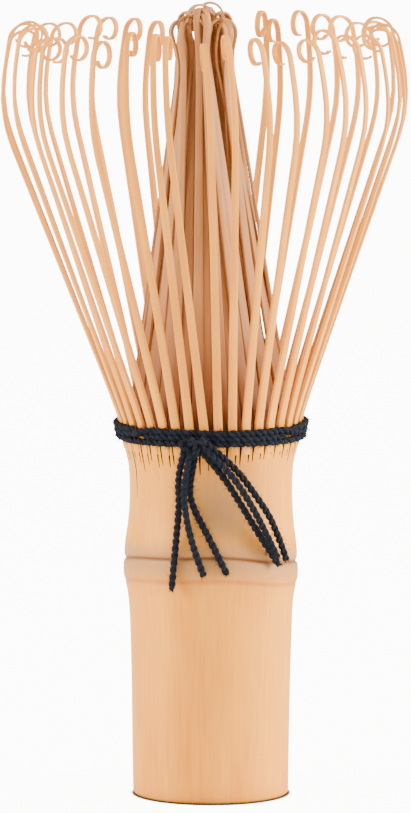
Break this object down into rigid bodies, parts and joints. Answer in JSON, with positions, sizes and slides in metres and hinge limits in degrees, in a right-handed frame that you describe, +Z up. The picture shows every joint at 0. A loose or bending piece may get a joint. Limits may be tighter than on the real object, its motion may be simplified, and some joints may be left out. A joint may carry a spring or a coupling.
{
  "type": "bamboo tea whisk",
  "caption": "Bamboo tea whisk: a hollow culm handle split into an outer cage of curled springy tines round an inner cone, bound and parted by dark thread with loose ends.",
  "frame": {"origin": "centre of the flat foot of the handle, on the surface that the whisk stands on", "axes": "+Z up from the handle to the tips of the tines; -Y the side of the thread's knot and loose ends; +X to the right seen from that side"},
  "size_m": [0.0596, 0.0596, 0.1156],
  "materials": {
    "culm": "satin",
    "outer_tines": "satin",
    "inner_tines": "satin",
    "thread": "matte"
  },
  "bodies": {
    "handle": {"handle": "culm", "thread_round_lower": "thread", "thread_round_middle": "thread", "thread_round_upper": "thread", "thread_weave": "thread", "thread_knot": "thread", "thread_tail_left_1": "thread", "thread_tail_left_2": "thread", "thread_tail_left_3": "thread", "thread_tail_right_1": "thread", "thread_tail_right_2": "thread", "thread_tail_right_3": "thread"},
    "outer_tine_01": {"outer_tine_01": "outer_tines"},
    "outer_tine_02": {"outer_tine_02": "outer_tines"},
    "outer_tine_03": {"outer_tine_03": "outer_tines"},
    "outer_tine_04": {"outer_tine_04": "outer_tines"},
    "outer_tine_05": {"outer_tine_05": "outer_tines"},
    "outer_tine_06": {"outer_tine_06": "outer_tines"},
    "outer_tine_07": {"outer_tine_07": "outer_tines"},
    "outer_tine_08": {"outer_tine_08": "outer_tines"},
    "outer_tine_09": {"outer_tine_09": "outer_tines"},
    "outer_tine_10": {"outer_tine_10": "outer_tines"},
    "outer_tine_11": {"outer_tine_11": "outer_tines"},
    "outer_tine_12": {"outer_tine_12": "outer_tines"},
    "outer_tine_13": {"outer_tine_13": "outer_tines"},
    "outer_tine_14": {"outer_tine_14": "outer_tines"},
    "outer_tine_15": {"outer_tine_15": "outer_tines"},
    "outer_tine_16": {"outer_tine_16": "outer_tines"},
    "outer_tine_17": {"outer_tine_17": "outer_tines"},
    "outer_tine_18": {"outer_tine_18": "outer_tines"},
    "outer_tine_19": {"outer_tine_19": "outer_tines"},
    "outer_tine_20": {"outer_tine_20": "outer_tines"},
    "outer_tine_21": {"outer_tine_21": "outer_tines"},
    "outer_tine_22": {"outer_tine_22": "outer_tines"},
    "outer_tine_23": {"outer_tine_23": "outer_tines"},
    "outer_tine_24": {"outer_tine_24": "outer_tines"},
    "outer_tine_25": {"outer_tine_25": "outer_tines"},
    "outer_tine_26": {"outer_tine_26": "outer_tines"},
    "outer_tine_27": {"outer_tine_27": "outer_tines"},
    "outer_tine_28": {"outer_tine_28": "outer_tines"},
    "outer_tine_29": {"outer_tine_29": "outer_tines"},
    "outer_tine_30": {"outer_tine_30": "outer_tines"},
    "outer_tine_31": {"outer_tine_31": "outer_tines"},
    "outer_tine_32": {"outer_tine_32": "outer_tines"},
    "outer_tine_33": {"outer_tine_33": "outer_tines"},
    "outer_tine_34": {"outer_tine_34": "outer_tines"},
    "outer_tine_35": {"outer_tine_35": "outer_tines"},
    "outer_tine_36": {"outer_tine_36": "outer_tines"},
    "outer_tine_37": {"outer_tine_37": "outer_tines"},
    "outer_tine_38": {"outer_tine_38": "outer_tines"},
    "outer_tine_39": {"outer_tine_39": "outer_tines"},
    "outer_tine_40": {"outer_tine_40": "outer_tines"},
    "inner_tines_01": {"inner_tines_01": "inner_tines"},
    "inner_tines_02": {"inner_tines_02": "inner_tines"},
    "inner_tines_03": {"inner_tines_03": "inner_tines"},
    "inner_tines_04": {"inner_tines_04": "inner_tines"},
    "inner_tines_05": {"inner_tines_05": "inner_tines"},
    "inner_tines_06": {"inner_tines_06": "inner_tines"},
    "inner_tines_07": {"inner_tines_07": "inner_tines"},
    "inner_tines_08": {"inner_tines_08": "inner_tines"}
  },
  "joints": [
    {"name": "outer_tine_01_flex", "type": "hinge", "parent": "handle", "child": "outer_tine_01", "pos_m": [0.01351, 0.00106, 0.0567], "axis": [-0.0785, 0.9969, 0], "range_deg": [-10, 6], "stiffness_Nm_per_rad": 0.0072},
    {"name": "outer_tine_02_flex", "type": "hinge", "parent": "handle", "child": "outer_tine_02", "pos_m": [0.01318, 0.00316, 0.0567], "axis": [-0.2334, 0.9724, 0], "range_deg": [-10, 6], "stiffness_Nm_per_rad": 0.0072},
    {"name": "outer_tine_03_flex", "type": "hinge", "parent": "handle", "child": "outer_tine_03", "pos_m": [0.01252, 0.00519, 0.0567], "axis": [-0.3827, 0.9239, 0], "range_deg": [-10, 6], "stiffness_Nm_per_rad": 0.0072},
    {"name": "outer_tine_04_flex", "type": "hinge", "parent": "handle", "child": "outer_tine_04", "pos_m": [0.01155, 0.00708, 0.0567], "axis": [-0.5225, 0.8526, 0], "range_deg": [-10, 6], "stiffness_Nm_per_rad": 0.0072},
    {"name": "outer_tine_05_flex", "type": "hinge", "parent": "handle", "child": "outer_tine_05", "pos_m": [0.0103, 0.0088, 0.0567], "axis": [-0.6494, 0.7604, 0], "range_deg": [-10, 6], "stiffness_Nm_per_rad": 0.0072},
    {"name": "outer_tine_06_flex", "type": "hinge", "parent": "handle", "child": "outer_tine_06", "pos_m": [0.0088, 0.0103, 0.0567], "axis": [-0.7604, 0.6494, 0], "range_deg": [-10, 6], "stiffness_Nm_per_rad": 0.0072},
    {"name": "outer_tine_07_flex", "type": "hinge", "parent": "handle", "child": "outer_tine_07", "pos_m": [0.00708, 0.01155, 0.0567], "axis": [-0.8526, 0.5225, 0], "range_deg": [-10, 6], "stiffness_Nm_per_rad": 0.0072},
    {"name": "outer_tine_08_flex", "type": "hinge", "parent": "handle", "child": "outer_tine_08", "pos_m": [0.00519, 0.01252, 0.0567], "axis": [-0.9239, 0.3827, 0], "range_deg": [-10, 6], "stiffness_Nm_per_rad": 0.0072},
    {"name": "outer_tine_09_flex", "type": "hinge", "parent": "handle", "child": "outer_tine_09", "pos_m": [0.00316, 0.01318, 0.0567], "axis": [-0.9724, 0.2334, 0], "range_deg": [-10, 6], "stiffness_Nm_per_rad": 0.0072},
    {"name": "outer_tine_10_flex", "type": "hinge", "parent": "handle", "child": "outer_tine_10", "pos_m": [0.00106, 0.01351, 0.0567], "axis": [-0.9969, 0.0785, 0], "range_deg": [-10, 6], "stiffness_Nm_per_rad": 0.0072},
    {"name": "outer_tine_11_flex", "type": "hinge", "parent": "handle", "child": "outer_tine_11", "pos_m": [-0.00106, 0.01351, 0.0567], "axis": [-0.9969, -0.0785, 0], "range_deg": [-10, 6], "stiffness_Nm_per_rad": 0.0072},
    {"name": "outer_tine_12_flex", "type": "hinge", "parent": "handle", "child": "outer_tine_12", "pos_m": [-0.00316, 0.01318, 0.0567], "axis": [-0.9724, -0.2334, 0], "range_deg": [-10, 6], "stiffness_Nm_per_rad": 0.0072},
    {"name": "outer_tine_13_flex", "type": "hinge", "parent": "handle", "child": "outer_tine_13", "pos_m": [-0.00519, 0.01252, 0.0567], "axis": [-0.9239, -0.3827, 0], "range_deg": [-10, 6], "stiffness_Nm_per_rad": 0.0072},
    {"name": "outer_tine_14_flex", "type": "hinge", "parent": "handle", "child": "outer_tine_14", "pos_m": [-0.00708, 0.01155, 0.0567], "axis": [-0.8526, -0.5225, 0], "range_deg": [-10, 6], "stiffness_Nm_per_rad": 0.0072},
    {"name": "outer_tine_15_flex", "type": "hinge", "parent": "handle", "child": "outer_tine_15", "pos_m": [-0.0088, 0.0103, 0.0567], "axis": [-0.7604, -0.6494, 0], "range_deg": [-10, 6], "stiffness_Nm_per_rad": 0.0072},
    {"name": "outer_tine_16_flex", "type": "hinge", "parent": "handle", "child": "outer_tine_16", "pos_m": [-0.0103, 0.0088, 0.0567], "axis": [-0.6494, -0.7604, 0], "range_deg": [-10, 6], "stiffness_Nm_per_rad": 0.0072},
    {"name": "outer_tine_17_flex", "type": "hinge", "parent": "handle", "child": "outer_tine_17", "pos_m": [-0.01155, 0.00708, 0.0567], "axis": [-0.5225, -0.8526, 0], "range_deg": [-10, 6], "stiffness_Nm_per_rad": 0.0072},
    {"name": "outer_tine_18_flex", "type": "hinge", "parent": "handle", "child": "outer_tine_18", "pos_m": [-0.01252, 0.00519, 0.0567], "axis": [-0.3827, -0.9239, 0], "range_deg": [-10, 6], "stiffness_Nm_per_rad": 0.0072},
    {"name": "outer_tine_19_flex", "type": "hinge", "parent": "handle", "child": "outer_tine_19", "pos_m": [-0.01318, 0.00316, 0.0567], "axis": [-0.2334, -0.9724, 0], "range_deg": [-10, 6], "stiffness_Nm_per_rad": 0.0072},
    {"name": "outer_tine_20_flex", "type": "hinge", "parent": "handle", "child": "outer_tine_20", "pos_m": [-0.01351, 0.00106, 0.0567], "axis": [-0.0785, -0.9969, 0], "range_deg": [-10, 6], "stiffness_Nm_per_rad": 0.0072},
    {"name": "outer_tine_21_flex", "type": "hinge", "parent": "handle", "child": "outer_tine_21", "pos_m": [-0.01351, -0.00106, 0.0567], "axis": [0.0785, -0.9969, 0], "range_deg": [-10, 6], "stiffness_Nm_per_rad": 0.0072},
    {"name": "outer_tine_22_flex", "type": "hinge", "parent": "handle", "child": "outer_tine_22", "pos_m": [-0.01318, -0.00316, 0.0567], "axis": [0.2334, -0.9724, 0], "range_deg": [-10, 6], "stiffness_Nm_per_rad": 0.0072},
    {"name": "outer_tine_23_flex", "type": "hinge", "parent": "handle", "child": "outer_tine_23", "pos_m": [-0.01252, -0.00519, 0.0567], "axis": [0.3827, -0.9239, 0], "range_deg": [-10, 6], "stiffness_Nm_per_rad": 0.0072},
    {"name": "outer_tine_24_flex", "type": "hinge", "parent": "handle", "child": "outer_tine_24", "pos_m": [-0.01155, -0.00708, 0.0567], "axis": [0.5225, -0.8526, 0], "range_deg": [-10, 6], "stiffness_Nm_per_rad": 0.0072},
    {"name": "outer_tine_25_flex", "type": "hinge", "parent": "handle", "child": "outer_tine_25", "pos_m": [-0.0103, -0.0088, 0.0567], "axis": [0.6494, -0.7604, 0], "range_deg": [-10, 6], "stiffness_Nm_per_rad": 0.0072},
    {"name": "outer_tine_26_flex", "type": "hinge", "parent": "handle", "child": "outer_tine_26", "pos_m": [-0.0088, -0.0103, 0.0567], "axis": [0.7604, -0.6494, 0], "range_deg": [-10, 6], "stiffness_Nm_per_rad": 0.0072},
    {"name": "outer_tine_27_flex", "type": "hinge", "parent": "handle", "child": "outer_tine_27", "pos_m": [-0.00708, -0.01155, 0.0567], "axis": [0.8526, -0.5225, 0], "range_deg": [-10, 6], "stiffness_Nm_per_rad": 0.0072},
    {"name": "outer_tine_28_flex", "type": "hinge", "parent": "handle", "child": "outer_tine_28", "pos_m": [-0.00519, -0.01252, 0.0567], "axis": [0.9239, -0.3827, 0], "range_deg": [-10, 6], "stiffness_Nm_per_rad": 0.0072},
    {"name": "outer_tine_29_flex", "type": "hinge", "parent": "handle", "child": "outer_tine_29", "pos_m": [-0.00316, -0.01318, 0.0567], "axis": [0.9724, -0.2334, 0], "range_deg": [-10, 6], "stiffness_Nm_per_rad": 0.0072},
    {"name": "outer_tine_30_flex", "type": "hinge", "parent": "handle", "child": "outer_tine_30", "pos_m": [-0.00106, -0.01351, 0.0567], "axis": [0.9969, -0.0785, 0], "range_deg": [-10, 6], "stiffness_Nm_per_rad": 0.0072},
    {"name": "outer_tine_31_flex", "type": "hinge", "parent": "handle", "child": "outer_tine_31", "pos_m": [0.00106, -0.01351, 0.0567], "axis": [0.9969, 0.0785, 0], "range_deg": [-10, 6], "stiffness_Nm_per_rad": 0.0072},
    {"name": "outer_tine_32_flex", "type": "hinge", "parent": "handle", "child": "outer_tine_32", "pos_m": [0.00316, -0.01318, 0.0567], "axis": [0.9724, 0.2334, 0], "range_deg": [-10, 6], "stiffness_Nm_per_rad": 0.0072},
    {"name": "outer_tine_33_flex", "type": "hinge", "parent": "handle", "child": "outer_tine_33", "pos_m": [0.00519, -0.01252, 0.0567], "axis": [0.9239, 0.3827, 0], "range_deg": [-10, 6], "stiffness_Nm_per_rad": 0.0072},
    {"name": "outer_tine_34_flex", "type": "hinge", "parent": "handle", "child": "outer_tine_34", "pos_m": [0.00708, -0.01155, 0.0567], "axis": [0.8526, 0.5225, 0], "range_deg": [-10, 6], "stiffness_Nm_per_rad": 0.0072},
    {"name": "outer_tine_35_flex", "type": "hinge", "parent": "handle", "child": "outer_tine_35", "pos_m": [0.0088, -0.0103, 0.0567], "axis": [0.7604, 0.6494, 0], "range_deg": [-10, 6], "stiffness_Nm_per_rad": 0.0072},
    {"name": "outer_tine_36_flex", "type": "hinge", "parent": "handle", "child": "outer_tine_36", "pos_m": [0.0103, -0.0088, 0.0567], "axis": [0.6494, 0.7604, 0], "range_deg": [-10, 6], "stiffness_Nm_per_rad": 0.0072},
    {"name": "outer_tine_37_flex", "type": "hinge", "parent": "handle", "child": "outer_tine_37", "pos_m": [0.01155, -0.00708, 0.0567], "axis": [0.5225, 0.8526, 0], "range_deg": [-10, 6], "stiffness_Nm_per_rad": 0.0072},
    {"name": "outer_tine_38_flex", "type": "hinge", "parent": "handle", "child": "outer_tine_38", "pos_m": [0.01252, -0.00519, 0.0567], "axis": [0.3827, 0.9239, 0], "range_deg": [-10, 6], "stiffness_Nm_per_rad": 0.0072},
    {"name": "outer_tine_39_flex", "type": "hinge", "parent": "handle", "child": "outer_tine_39", "pos_m": [0.01318, -0.00316, 0.0567], "axis": [0.2334, 0.9724, 0], "range_deg": [-10, 6], "stiffness_Nm_per_rad": 0.0072},
    {"name": "outer_tine_40_flex", "type": "hinge", "parent": "handle", "child": "outer_tine_40", "pos_m": [0.01351, -0.00106, 0.0567], "axis": [0.0785, 0.9969, 0], "range_deg": [-10, 6], "stiffness_Nm_per_rad": 0.0072},
    {"name": "inner_tines_01_flex", "type": "hinge", "parent": "handle", "child": "inner_tines_01", "pos_m": [0.01113, 0.00362, 0.0567], "axis": [-0.309, 0.9511, 0], "range_deg": [0, 5], "stiffness_Nm_per_rad": 0.022},
    {"name": "inner_tines_02_flex", "type": "hinge", "parent": "handle", "child": "inner_tines_02", "pos_m": [0.00531, 0.01042, 0.0567], "axis": [-0.891, 0.454, 0], "range_deg": [0, 5], "stiffness_Nm_per_rad": 0.022},
    {"name": "inner_tines_03_flex", "type": "hinge", "parent": "handle", "child": "inner_tines_03", "pos_m": [-0.00362, 0.01113, 0.0567], "axis": [-0.9511, -0.309, 0], "range_deg": [0, 5], "stiffness_Nm_per_rad": 0.022},
    {"name": "inner_tines_04_flex", "type": "hinge", "parent": "handle", "child": "inner_tines_04", "pos_m": [-0.01042, 0.00531, 0.0567], "axis": [-0.454, -0.891, 0], "range_deg": [0, 5], "stiffness_Nm_per_rad": 0.022},
    {"name": "inner_tines_05_flex", "type": "hinge", "parent": "handle", "child": "inner_tines_05", "pos_m": [-0.01113, -0.00362, 0.0567], "axis": [0.309, -0.9511, 0], "range_deg": [0, 5], "stiffness_Nm_per_rad": 0.022},
    {"name": "inner_tines_06_flex", "type": "hinge", "parent": "handle", "child": "inner_tines_06", "pos_m": [-0.00531, -0.01042, 0.0567], "axis": [0.891, -0.454, 0], "range_deg": [0, 5], "stiffness_Nm_per_rad": 0.022},
    {"name": "inner_tines_07_flex", "type": "hinge", "parent": "handle", "child": "inner_tines_07", "pos_m": [0.00362, -0.01113, 0.0567], "axis": [0.9511, 0.309, 0], "range_deg": [0, 5], "stiffness_Nm_per_rad": 0.022},
    {"name": "inner_tines_08_flex", "type": "hinge", "parent": "handle", "child": "inner_tines_08", "pos_m": [0.01042, -0.00531, 0.0567], "axis": [0.454, 0.891, 0], "range_deg": [0, 5], "stiffness_Nm_per_rad": 0.022}
  ]
}
